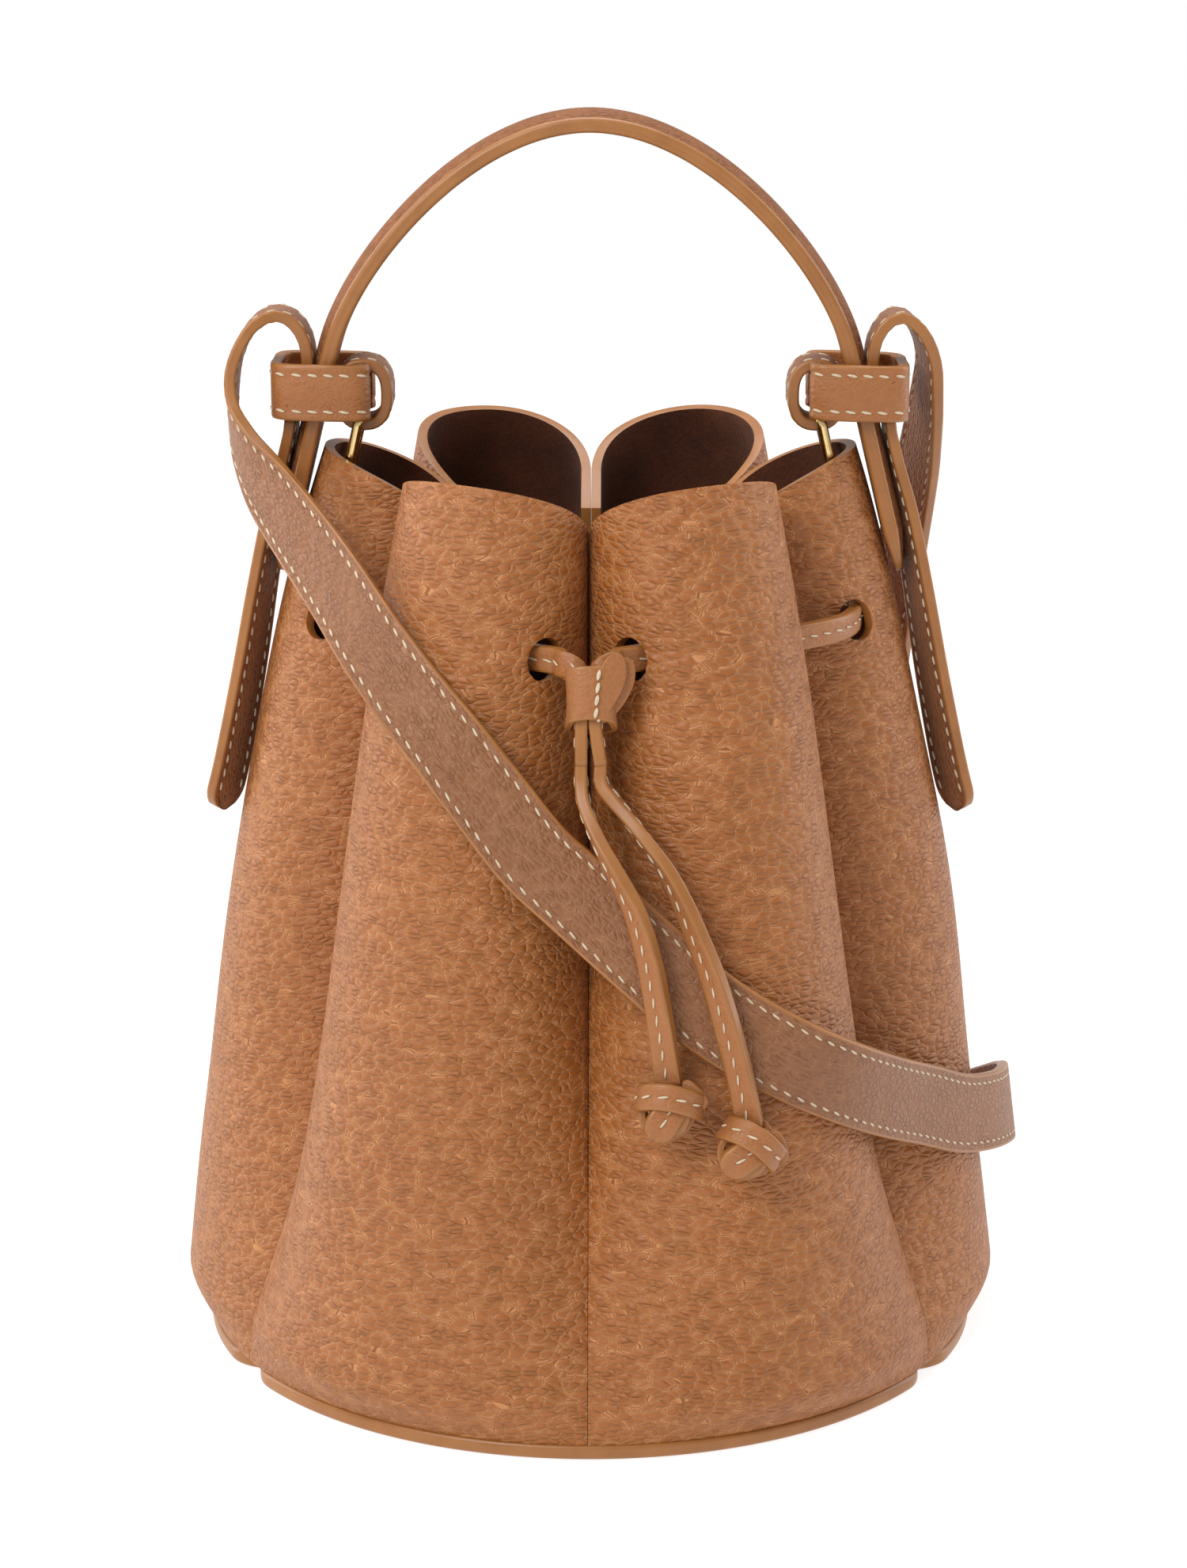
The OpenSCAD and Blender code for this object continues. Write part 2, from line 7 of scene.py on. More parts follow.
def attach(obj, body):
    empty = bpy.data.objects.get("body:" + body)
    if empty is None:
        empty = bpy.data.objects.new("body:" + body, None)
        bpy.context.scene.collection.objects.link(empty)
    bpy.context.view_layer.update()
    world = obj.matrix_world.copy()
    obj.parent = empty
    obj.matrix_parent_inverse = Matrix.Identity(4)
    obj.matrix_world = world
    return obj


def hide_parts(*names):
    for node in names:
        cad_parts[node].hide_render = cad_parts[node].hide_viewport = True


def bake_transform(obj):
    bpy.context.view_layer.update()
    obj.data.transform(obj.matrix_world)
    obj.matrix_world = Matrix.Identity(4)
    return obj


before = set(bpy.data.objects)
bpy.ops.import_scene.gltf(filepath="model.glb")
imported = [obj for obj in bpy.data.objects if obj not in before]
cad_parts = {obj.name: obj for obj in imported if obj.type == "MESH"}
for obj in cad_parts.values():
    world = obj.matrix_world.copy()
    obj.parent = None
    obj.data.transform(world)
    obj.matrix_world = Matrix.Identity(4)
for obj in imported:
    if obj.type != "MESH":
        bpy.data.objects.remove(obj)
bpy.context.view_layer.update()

MM = 0.001

# ------------------------------------------------------------------ camera
camera_data = bpy.data.cameras.new("camera")
camera_data.sensor_fit = "HORIZONTAL"
camera_data.sensor_width = 36
camera_data.lens = 112.56
camera_data.clip_start = 0.01
camera = bpy.data.objects.new("camera", camera_data)
camera.location = (0.0049, -0.7352, 0.3106)
camera.rotation_euler = (math.radians(74.97), 0, math.radians(0.33))
bpy.context.scene.collection.objects.link(camera)
bpy.context.scene.camera = camera


# --------------------------------------------------------------- materials
def new_material(name):
    material = bpy.data.materials.new(name)
    material.use_nodes = True
    nodes = material.node_tree.nodes
    nodes.clear()
    output = nodes.new("ShaderNodeOutputMaterial")
    shader = nodes.new("ShaderNodeBsdfPrincipled")
    material.node_tree.links.new(shader.outputs[0], output.inputs[0])
    return material, nodes, material.node_tree.links, shader


def set_inputs(node, values):
    for name, value in values.items():
        node.inputs[name].default_value = value


def noise_node(nodes, links, coords, scale, detail=3, rough=0.55):
    node = nodes.new("ShaderNodeTexNoise")
    set_inputs(node, {"Scale": scale, "Detail": detail, "Roughness": rough})
    links.new(coords, node.inputs["Vector"])
    return node


def ramp(nodes, links, value, stops, socket=None):
    """Colour ramp through the stops, linked on to a socket where one is given."""
    node = nodes.new("ShaderNodeValToRGB")
    while len(node.color_ramp.elements) < len(stops):
        node.color_ramp.elements.new(0.5)
    for element, (at, colour) in zip(node.color_ramp.elements, stops):
        element.position = at
        element.color = (*colour, 1)
    links.new(value, node.inputs[0])
    if socket is not None:
        links.new(node.outputs[0], socket)
    return node.outputs[0]


def mix(nodes, links, share, a, b, blend="MIX"):
    """Mix of two colours: share, a and b are each an output socket or a plain value."""
    node = nodes.new("ShaderNodeMix")
    node.data_type = "RGBA"
    node.blend_type = blend
    for index, value in ((0, share), (6, a), (7, b)):
        if isinstance(value, bpy.types.NodeSocket):
            links.new(value, node.inputs[index])
        else:
            node.inputs[index].default_value = value
    return node.outputs[2]


def relief(nodes, links, height, shader, deep, strength=1):
    """Bump on the shader, deep in millimetres."""
    node = nodes.new("ShaderNodeBump")
    set_inputs(node, {"Distance": deep * MM, "Strength": strength})
    links.new(height, node.inputs["Height"])
    links.new(node.outputs[0], shader.inputs["Normal"])


def grey(v):
    return (v, v, v)


# Bends in the rows of pebbles: noise scale, and the pull along and across in cells
GRAIN_BENDS = ((0.45, (0.8, 1.0, 0)), (1.5, (0.22, 0.2, 0)))
GRAIN_SPREAD, DOME_SOFT, DOME_SHARE, TONE_SCALE = 0.85, 0.35, 0.75, 28
CREASE_STOPS = [(0.0, grey(0)), (0.05, grey(0.42)), (0.14, grey(0.85)), (0.32, grey(1))]
DOME_STOPS = [(0.15, grey(1)), (0.75, grey(0.2))]
# By height: where the painted highlight colour shows on the pebble rims, and where the painted
# shade of the crease ends
RIM_HIGHLIGHT_STOPS = [(0.02, grey(0)), (0.12, grey(0.85)), (0.3, grey(0.15)), (0.55, grey(0))]
CREASE_SHADE_STOPS = [(0.0, grey(0.35)), (0.1, grey(1))]


def pebbled_leather(name, dark, mid, light, rim, cell, depth, rough, sheen):
    """Drummed leather: low wide pebbles with a painted highlight on their rims and painted shade
    in their creases, in the piece's own UV in metres.
    cell is the size of a pebble and depth its height, in millimetres."""
    material, nodes, links, shader = new_material(name)
    coords = nodes.new("ShaderNodeTexCoord").outputs["UV"]
    in_cells = nodes.new("ShaderNodeMapping")
    in_cells.inputs["Scale"].default_value = (1000 / cell[0], 1000 / cell[1], 1)
    links.new(coords, in_cells.inputs[0])
    bent = in_cells.outputs[0]
    for scale, pull in GRAIN_BENDS:
        wander = noise_node(nodes, links, in_cells.outputs[0], scale, 2)
        shift = nodes.new("ShaderNodeVectorMath")
        shift.operation = "MULTIPLY_ADD"
        shift.inputs[1].default_value = pull
        links.new(wander.outputs["Color"], shift.inputs[0])
        links.new(bent, shift.inputs[2])
        bent = shift.outputs[0]

    def cells(feature):
        node = nodes.new("ShaderNodeTexVoronoi")
        node.feature = feature
        set_inputs(node, {"Scale": 1, "Randomness": GRAIN_SPREAD})
        links.new(bent, node.inputs["Vector"])
        return node

    crease = ramp(nodes, links, cells("DISTANCE_TO_EDGE").outputs["Distance"], CREASE_STOPS)
    domes = cells("SMOOTH_F1")
    domes.inputs["Smoothness"].default_value = DOME_SOFT
    dome = ramp(nodes, links, domes.outputs["Distance"], DOME_STOPS)
    height = mix(nodes, links, DOME_SHARE, crease, dome, "MULTIPLY")
    tone = noise_node(nodes, links, coords, TONE_SCALE, 4)
    tones = ramp(nodes, links, tone.outputs["Fac"], [(0.3, mid), (0.7, light)])
    # painted highlight: the rim colour is a lighter band on the pebble borders beside each crease,
    # where light catches them
    rim_highlit = mix(nodes, links, ramp(nodes, links, height, RIM_HIGHLIGHT_STOPS), tones, (*rim, 1))
    # painted shade: the dark colour fills the bottoms of the creases between the pebbles
    colour = mix(nodes, links, ramp(nodes, links, height, CREASE_SHADE_STOPS), (*dark, 1), rim_highlit)
    links.new(colour, shader.inputs["Base Color"])
    ramp(nodes, links, height, [(0.0, grey(rough + 0.2)), (1.0, grey(rough))],
         shader.inputs["Roughness"])
    relief(nodes, links, height, shader, depth)
    set_inputs(shader, {"Sheen Weight": sheen, "Sheen Roughness": 0.45,
                        "Sheen Tint": (1, 0.95, 0.93, 1)})
    return material


def painted_edge(name, dark, light):
    """Edge paint: smooth, a little uneven, with a soft shine."""
    material, nodes, links, shader = new_material(name)
    coords = nodes.new("ShaderNodeTexCoord").outputs["Object"]
    tone = noise_node(nodes, links, coords, 120)
    ramp(nodes, links, tone.outputs["Fac"], [(0.35, dark), (0.65, light)],
         shader.inputs["Base Color"])
    ramp(nodes, links, tone.outputs["Fac"], [(0.3, grey(0.36)), (0.7, grey(0.44))],
         shader.inputs["Roughness"])
    ripple = noise_node(nodes, links, coords, 700, 2)
    relief(nodes, links, ripple.outputs["Fac"], shader, 0.05, 0.6)
    set_inputs(shader, {"Coat Weight": 0.15, "Coat Roughness": 0.3})
    return material


def napped_suede(name, dark, light):
    """Suede side of the leather: short nap in darker and lighter tufts."""
    material, nodes, links, shader = new_material(name)
    coords = nodes.new("ShaderNodeTexCoord").outputs["Object"]
    nap = noise_node(nodes, links, coords, 1500, 3, 0.7).outputs["Fac"]
    cloud = noise_node(nodes, links, coords, 90, 4).outputs["Fac"]
    ramp(nodes, links, mix(nodes, links, 0.5, nap, cloud), [(0.38, dark), (0.62, light)],
         shader.inputs["Base Color"])
    ramp(nodes, links, nap, [(0.3, grey(0.85)), (0.7, grey(0.98))], shader.inputs["Roughness"])
    relief(nodes, links, nap, shader, 0.3)
    set_inputs(shader, {"Sheen Weight": 0.05, "Sheen Roughness": 0.6,
                        "Sheen Tint": (0.9, 0.6, 0.4, 1)})
    return material


def waxed_thread(name, dark, light):
    """Linen thread: fine fibres, a little darker between them."""
    material, nodes, links, shader = new_material(name)
    coords = nodes.new("ShaderNodeTexCoord").outputs["Object"]
    fibre = noise_node(nodes, links, coords, 2500, 3, 0.7).outputs["Fac"]
    ramp(nodes, links, fibre, [(0.3, dark), (0.7, light)], shader.inputs["Base Color"])
    ramp(nodes, links, fibre, [(0.3, grey(0.55)), (0.7, grey(0.75))], shader.inputs["Roughness"])
    relief(nodes, links, fibre, shader, 0.12)
    return material


def polished_gold(name, dark, light):
    """Gold-coloured wire with faint wear."""
    material, nodes, links, shader = new_material(name)
    coords = nodes.new("ShaderNodeTexCoord").outputs["Object"]
    wear = noise_node(nodes, links, coords, 400, 4).outputs["Fac"]
    ramp(nodes, links, wear, [(0.3, dark), (0.7, light)], shader.inputs["Base Color"])
    ramp(nodes, links, wear, [(0.35, grey(0.10)), (0.7, grey(0.2))], shader.inputs["Roughness"])
    shader.inputs["Metallic"].default_value = 1
    return material


# Each leather's colours: painted shade for the creases, two tones, then the painted highlight for
# the pebble rims
body_skin = pebbled_leather(
    "body leather", (0.13, 0.036, 0.006), (0.315, 0.095, 0.0135), (0.355, 0.111, 0.017),
    (0.56, 0.25, 0.09), cell=(2.6, 1.2), depth=0.42, rough=0.4, sheen=0.02)
strap_skin = pebbled_leather(
    "strap leather", (0.12, 0.04, 0.012), (0.24, 0.087, 0.028), (0.27, 0.102, 0.034),
    (0.36, 0.165, 0.075), cell=(1.8, 1.1), depth=0.26, rough=0.42, sheen=0.05)
# painted shade: the handle's leather is coloured darker than the body's so that its upturned
# faces, which catch the top light, look less lit
shaded_handle_skin = pebbled_leather(
    "handle leather with painted shade", (0.12, 0.036, 0.007), (0.215, 0.067, 0.013), (0.25, 0.08, 0.017),
    (0.33, 0.13, 0.045), cell=(2.0, 1.1), depth=0.3, rough=0.58, sheen=0.0)
smooth_skin = pebbled_leather(
    "lace leather", (0.17, 0.05, 0.012), (0.32, 0.11, 0.026), (0.37, 0.135, 0.036),
    (0.42, 0.17, 0.06), cell=(1.2, 0.9), depth=0.08, rough=0.38, sheen=0.05)
edge_paint = painted_edge("edge paint", (0.30, 0.11, 0.022), (0.36, 0.14, 0.032))
suede = napped_suede("suede", (0.045, 0.009, 0.0016), (0.12, 0.030, 0.007))
thread = waxed_thread("linen thread", (0.52, 0.40, 0.26), (0.74, 0.63, 0.46))
gold = polished_gold("gold wire", (0.80, 0.56, 0.22), (0.92, 0.70, 0.34))


# ------------------------------------------------------------ small makers
def add_piece(name, bm, body, materials):
    mesh = bpy.data.meshes.new(name)
    bm.to_mesh(mesh)
    bm.free()
    mesh.shade_smooth()
    piece = bpy.data.objects.new(name, mesh)
    bpy.context.scene.collection.objects.link(piece)
    for material in materials:
        mesh.materials.append(material)
    if body:
        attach(piece, body)
    return piece


def extrude_rounded(bm, face, way, width, segments):
    """Extrudes one many-sided face along way and rounds both its outlines."""
    up = bmesh.ops.extrude_face_region(bm, geom=[face])
    raised = [v for v in up["geom"] if isinstance(v, bmesh.types.BMVert)]
    bmesh.ops.translate(bm, vec=way, verts=raised)
    bmesh.ops.recalc_face_normals(bm, faces=bm.faces)
    rims = [e for e in bm.edges if sorted(len(f.verts) > 4 for f in e.link_faces) == [False, True]]
    bmesh.ops.bevel(bm, geom=rims, offset=width, offset_type="OFFSET", segments=segments,
                    profile=0.5, affect="EDGES", material=-1, clamp_overlap=True)


def spline(values, per_span):
    """Smooth run through a list of tuples, with per_span steps between neighbours."""
    last = len(values) - 1
    run = []
    for i in range(last):
        a, b, c, d = (values[max(i - 1, 0)], values[i], values[i + 1], values[min(i + 2, last)])
        for k in range(per_span):
            t = k / per_span
            run.append([0.5 * (2 * q + (r - p) * t + (2 * p - 5 * q + 4 * r - s) * t * t
                               + (3 * q - p - 3 * r + s) * t ** 3)
                        for p, q, r, s in zip(a, b, c, d)])
    run.append(list(values[last]))
    return run


PER_SPAN = 16


class Run:
    """A path in millimetres with a direction across it, sampled at even steps."""

    def __init__(self, points, across, step=1.2, closed=False):
        rows = [list(p) + list(a) for p, a in zip(points, across)]
        fine = spline(rows, PER_SPAN)
        marks = [0.0]
        for p, q in zip(fine, fine[1:]):
            marks.append(marks[-1] + math.dist(p[:3], q[:3]))
        self.length = marks[-1]
        count = max(4, round(self.length / step))
        self.at, self.across, self.marks = [], [], []
        j = 0
        for i in range(count + 1):
            s = self.length * i / count
            while j < len(marks) - 2 and marks[j + 1] < s:
                j += 1
            t = (s - marks[j]) / max(1e-9, marks[j + 1] - marks[j])
            row = [p + (q - p) * t for p, q in zip(fine[j], fine[j + 1])]
            self.at.append(Vector(row[:3]))
            self.across.append(Vector(row[3:]))
            self.marks.append(s)
        n = len(self.at)
        self.ahead, self.out = [], []
        for i in range(n):
            before = self.at[(i - 1) % (n - 1) if closed else max(i - 1, 0)]
            after = self.at[(i + 1) % (n - 1) if closed else min(i + 1, n - 1)]
            ahead = (after - before).normalized()
            across_i = self.across[i] - self.across[i].dot(ahead) * ahead
            self.across[i] = across_i.normalized()
            self.ahead.append(ahead)
            self.out.append(self.across[i].cross(ahead))

    def place(self, s, a=0.0, h=0.0):
        """Point at distance s along, a across and h out, with its three directions."""
        f = max(0.0, min(1.0, s / self.length)) * (len(self.at) - 1)
        i = min(int(f), len(self.at) - 2)
        t = f - i
        p = self.at[i].lerp(self.at[i + 1], t)
        w = self.across[i].lerp(self.across[i + 1], t).normalized()
        o = self.out[i].lerp(self.out[i + 1], t).normalized()
        return p + w * a + o * h, w, o, self.ahead[i].lerp(self.ahead[i + 1], t).normalized()


GROOVE_HALF = 0.65


def strip_section(half_w, half_t, seams=(), groove=0.2):
    """Section of a sewn leather strip: two faces sunk along the seams, and rounded painted
    edges with the line between the layers. Gives (across, out, is_edge)."""
    r = min(0.55, half_t * 0.6)
    face = [-(half_w - r)]
    for seam in sorted(seams):
        face += [seam - GROOVE_HALF, seam, seam + GROOVE_HALF]
    if not seams:
        face += [0.0]
    face += [half_w - r]

    def sunk(a):
        return half_t - (groove if any(abs(a - s) < 0.1 for s in seams) else 0.0)

    side = [(half_w - 0.25 * r, half_t - 0.18 * r), (half_w + 0.05, half_t * 0.52),
            (half_w - 0.16, 0.0), (half_w + 0.05, -half_t * 0.52),
            (half_w - 0.25 * r, -half_t + 0.18 * r)]
    last = len(face) - 1
    points = [(a, sunk(a), i == last) for i, a in enumerate(face)]
    points += [(a, h, True) for a, h in side]
    points += [(a, -sunk(a), i == last) for i, a in enumerate(reversed(face))]
    points += [(-a, h, True) for a, h in reversed(side)]
    return points


def rounded(end, reach, least):
    """Share of its full width that a strip has at a distance from its round end."""
    if end >= reach:
        return 1
    return max(least, math.sqrt(max(0.0, 1 - (1 - end / reach) ** 2)))


def squarish(v, power):
    """A sine or cosine pushed out towards a square with round corners."""
    return math.copysign(abs(v) ** power, v)


def sweep(name, run, section, body, skin, width=None, closed=False):
    """Wraps a grid round the section all along a run, in a skin with painted edges.
    width(s) gives the section's scale across and out at distance s."""
    around, along = len(section), len(run.at) - 1
    bm = bmesh.new()
    bmesh.ops.create_grid(bm, x_segments=around, y_segments=along, size=1)
    uv = bm.loops.layers.uv.new("UVMap")
    spot = {}
    for v in bm.verts:
        spot[v] = (round((v.co.x + 1) / 2 * around), round((v.co.y + 1) / 2 * along))
    lengths = [0.0]
    for p, q in zip(section, section[1:] + section[:1]):
        lengths.append(lengths[-1] + math.hypot(p[0] - q[0], p[1] - q[1]))
    for face in bm.faces:
        i = min(spot[v][0] for v in face.verts)
        face.material_index = 1 if section[i][2] else 0
        for loop in face.loops:
            k, j = spot[loop.vert]
            loop[uv].uv = (run.marks[j] * MM, lengths[k] * MM)
    for v in bm.verts:
        i, j = spot[v]
        a, h, _ = section[i % around]
        wide, thick = width(run.marks[j]) if width else (1, 1)
        v.co = (run.at[j] + run.across[j] * a * wide + run.out[j] * h * thick) * MM
    bmesh.ops.remove_doubles(bm, verts=bm.verts, dist=1e-7)
    ends = [e for e in bm.edges if e.is_boundary]
    if ends and not closed:
        made = bmesh.ops.holes_fill(bm, edges=ends, sides=around)
        for face in made["faces"]:
            face.material_index = 1
    bmesh.ops.recalc_face_normals(bm, faces=bm.faces)
    return add_piece(name, bm, body, [skin, edge_paint])


STITCH_PITCH, STITCH_SLANT, STITCH_LOT, SEAM_PROUD = 3.1, 0.16, 30, 0.02


def stitches(name, places, body, length=2.0, thick=0.25):
    """One short slanted thread for each place: (point, across, out, ahead) in millimetres.
    The threads are made in small lots, which is much faster than one growing mesh."""
    bm = bmesh.new()
    batch = bpy.data.meshes.new("batch")
    for first in range(0, len(places), STITCH_LOT):
        few = bmesh.new()
        for point, across, out, ahead in places[first:first + STITCH_LOT]:
            lie = (ahead + across * STITCH_SLANT).normalized()
            side = lie.cross(out).normalized()
            turn = Matrix((lie * length / 2, side * thick, out * thick)).transposed()
            matrix = turn.to_4x4()
            matrix.translation = point
            bmesh.ops.create_icosphere(few, subdivisions=2, radius=1,
                                       matrix=Matrix.Scale(MM, 4) @ matrix)
        few.to_mesh(batch)
        few.free()
        bm.from_mesh(batch)
    bpy.data.meshes.remove(batch)
    return add_piece(name, bm, body, [thread])


def seam_places(run, offset, height, pitch=STITCH_PITCH, start=2.5, stop=None, both=True):
    """Places along a run for a row of stitches, on one face or on both. offset is a number or
    gives one for each distance along."""
    stop = run.length - 2.5 if stop is None else stop
    places = []
    count = int((stop - start) / pitch)
    for i in range(count + 1):
        s = start + (i + 0.5) * (stop - start) / (count + 1)
        off = offset(s) if callable(offset) else offset
        point, across, out, ahead = run.place(s, off, height)
        places.append((point, across, out, ahead))
        if both:
            point, across, out, ahead = run.place(s, off, -height)
            places.append((point, across, -out, ahead))
    return places


# -------------------------------------------------------------- the petals
SOLE_R, SOLE_T, BELLY_H, BELLY_R = 80.0, 3.0, 12.0, 84.6
FOLD_H, RISE, RIM_R, RIM_FOLD_R, FOLD_DEEP, WALL = 172.6, 11.3, 56.4, 33.0, 10.0, 2.0
FOOT_R = SOLE_R - 0.5
LACE_H, HOLE_R = 151.5, 4.1
# Way to a fold from the line through its petal's middle: half a petal's turn of 60 degrees
FOLD_COS, FOLD_SIN = math.cos(math.radians(30)), 0.5
FOLD_GAP = 0.05
WAVE_DEEP, WAVE_PER_U, WAVE_PER_MM, WAVE_FROM, WAVE_FULL = 1.3, 1.6, 0.016, 14, 30
FLAP_DROP, EDGE_ROUND, FOOT_SHARE = 6.5, 0.6, 0.1


def body_share(z):
    return (z - BELLY_H) / (FOLD_H - BELLY_H)


def petal_r(z):
    """Radius at the middle of a petal."""
    if z < BELLY_H:
        turn = math.pi / 2 * (z - SOLE_T) / (BELLY_H - SOLE_T)
        return FOOT_R + (BELLY_R - FOOT_R) * math.sin(turn)
    s = body_share(z)
    return BELLY_R - (BELLY_R - RIM_R) * (0.69 * s + 0.31 * s ** 3)


def fold_r(z):
    """Radius at the bottom of a fold."""
    if z < BELLY_H:
        return FOOT_R - (z - SOLE_T) / (BELLY_H - SOLE_T)
    return FOOT_R - 1 + (RIM_FOLD_R - FOOT_R + 1) * (1 - max(0, 1 - body_share(z)) ** 1.4)


def fold_depth(z):
    """How far the pressed fold runs in past the bottom of the fold."""
    low = WALL + 1.2
    return low + (FOLD_DEEP - low) * max(0, min(1, body_share(z)))


def arc_of(z):
    """Centre distance, radius and half angle of a petal's arc at height z."""
    p, f = petal_r(z), fold_r(z)
    centre = (p * p - f * f) / (2 * (p - f * FOLD_COS))
    radius = p - centre
    return centre, radius, math.acos((FOLD_GAP - centre / 2) / radius) - math.radians(60)


def hole_angle(k):
    """Degrees from a petal's middle to each lace hole, round the petal's own arc."""
    return 56 if k % 3 == 0 else 68


def petal_point(u, z, k):
    """Point of petal k: u runs round the arc from -1 to 1 and on down the pressed folds."""
    centre, radius, end = arc_of(z)
    side = -1 if u < 0 else 1
    angle = min(abs(u), 1) * end
    x, y = centre + radius * math.cos(angle), radius * math.sin(angle)
    if abs(u) > 1:
        reach = x * FOLD_COS + y * FOLD_SIN
        down = (abs(u) - 1) * max(0, reach - fold_r(z) + fold_depth(z))
        x, y = x - down * FOLD_COS, y - down * FOLD_SIN
    y *= side
    # the hand of the leather: long slow waves, none where a piece is sewn or pressed
    free = max(0, 1 - abs(u)) ** 0.5 * min(1, max(0, (z - WAVE_FROM) / WAVE_FULL))
    at = Vector((u * WAVE_PER_U + k * 7.3, z * WAVE_PER_MM, k * 3.1))
    wave = noise.noise(at) * WAVE_DEEP * free
    turn = math.radians(60 * k)
    x += wave
    c, s = math.cos(turn), math.sin(turn)
    return Vector((x * c - y * s, x * s + y * c, z))


def rim_z(u):
    """Height of the rim: highest in the middle of a petal, dipping on into the fold."""
    w = min(abs(u), 1)
    return FOLD_H + RISE * (1 - w ** 2.2) - FLAP_DROP * max(0, abs(u) - 1)


def petal(name, k):
    """One wall of the body, from a grid: arc in the middle, a pressed fold at each side."""
    arc_columns, fold_columns, rows = 52, 6, 88
    _, hole_radius, hole_end = arc_of(LACE_H)
    hole_u = hole_angle(k) / math.degrees(hole_end)
    per_u = hole_radius * hole_end
    columns = arc_columns + 2 * fold_columns
    bm = bmesh.new()
    bmesh.ops.create_grid(bm, x_segments=columns, y_segments=rows, size=1)
    uv = bm.loops.layers.uv.new("UVMap")
    spot = {}
    for v in bm.verts:
        i = round((v.co.x + 1) / 2 * columns) - fold_columns
        if i < 0:
            u = -1 + i / fold_columns
        elif i > arc_columns:
            u = 1 + (i - arc_columns) / fold_columns
        else:
            u = -1 + 2 * i / arc_columns
        j = (v.co.y + 1) / 2
        if j < FOOT_SHARE:
            z = SOLE_T + (BELLY_H - SOLE_T) * j / FOOT_SHARE
        else:
            z = BELLY_H + (rim_z(u) - BELLY_H) * (j - FOOT_SHARE) / (1 - FOOT_SHARE)
        spot[v] = (u, z)
    for side in (-1, 1):
        def away(u, z):
            return math.hypot((u - side * hole_u) * per_u, z - LACE_H)

        gone = [f for f in bm.faces if away(sum(spot[v][0] for v in f.verts) / 4,
                                            sum(spot[v][1] for v in f.verts) / 4) < HOLE_R]
        bmesh.ops.delete(bm, geom=gone, context="FACES")
        for v in bm.verts:
            u, z = spot[v]
            if v.is_boundary and away(u, z) < HOLE_R * 1.8 and z < LACE_H + 12:
                grow = HOLE_R / max(0.1, away(u, z))
                spot[v] = (side * hole_u + (u - side * hole_u) * grow,
                           LACE_H + (z - LACE_H) * grow)
    for v in bm.verts:
        v.co = petal_point(*spot[v], k) * MM
    for f in bm.faces:
        for loop in f.loops:
            u, z = spot[loop.vert]
            _, r, e = arc_of(max(z, BELLY_H))
            loop[uv].uv = (u * r * e * MM + k * 0.3, z * MM)
    bmesh.ops.recalc_face_normals(bm, faces=bm.faces)
    halfway = petal_point(0, 80, k) * MM
    middle = min(bm.faces, key=lambda f: (f.calc_center_median() - halfway).length)
    if middle.normal.dot(Vector((halfway.x, halfway.y, 0))) < 0:
        bmesh.ops.reverse_faces(bm, faces=bm.faces)
    piece = add_piece(name, bm, "bag", [body_skin, suede, edge_paint])
    wall = piece.modifiers.new("wall", "SOLIDIFY")
    wall.thickness = WALL * MM
    wall.offset = -1
    wall.use_even_offset = True
    wall.material_offset = 1
    wall.material_offset_rim = 2
    soften = piece.modifiers.new("rounded edge", "BEVEL")
    soften.width = EDGE_ROUND * MM
    soften.segments = 3
    soften.limit_method = "ANGLE"
    soften.angle_limit = math.radians(50)
    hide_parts(name)
    return piece


PLACES = ("right", "back_right", "back_left", "left", "front_left", "front_right")
for k, place in enumerate(PLACES):
    petal("petal_" + place, k).name = "wall_" + place


# ---------------------------------------------------------------- the base
NOTCH_DEEP, NOTCH_HALF_ANGLE, SOLE_ROUND = 4, 6, 0.9


def sole():
    """A disc cut in under four of the folds."""
    bm = bmesh.new()
    made = bmesh.ops.create_circle(bm, cap_ends=True, radius=SOLE_R * MM, segments=360)
    for v in made["verts"]:
        angle = math.degrees(math.atan2(v.co.y, v.co.x)) % 360
        near = min(abs(angle - f) for f in (30, 150, 210, 330))
        v.co *= (SOLE_R - NOTCH_DEEP * max(0, 1 - near / NOTCH_HALF_ANGLE) ** 2) / SOLE_R
    extrude_rounded(bm, list(bm.faces)[0], (0, 0, SOLE_T * MM), SOLE_ROUND * MM, 4)
    piece = add_piece("sole_leather", bm, "bag", [edge_paint])
    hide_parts("sole")


sole()

# -------------------------------------------------------------- the handle
LEG_FOOT, LEG_TOP = Vector((62.24, 0, 158)), Vector((51.4, 0, 202.5))
leg_way = (LEG_TOP - LEG_FOOT).normalized()


ARCH_TOP, ARCH_PULL_UP, ARCH_PULL_OUT = 247.3, 17, 24


def arch_point(t):
    """Point of the arch's right half, from the leg's top (t = 0) to the crown (t = 1)."""
    a, b = LEG_TOP, LEG_TOP + leg_way * ARCH_PULL_UP
    c, d = Vector((ARCH_PULL_OUT, 0, ARCH_TOP)), Vector((0, 0, ARCH_TOP))
    return a * (1 - t) ** 3 + b * 3 * t * (1 - t) ** 2 + c * 3 * t * t * (1 - t) + d * t ** 3


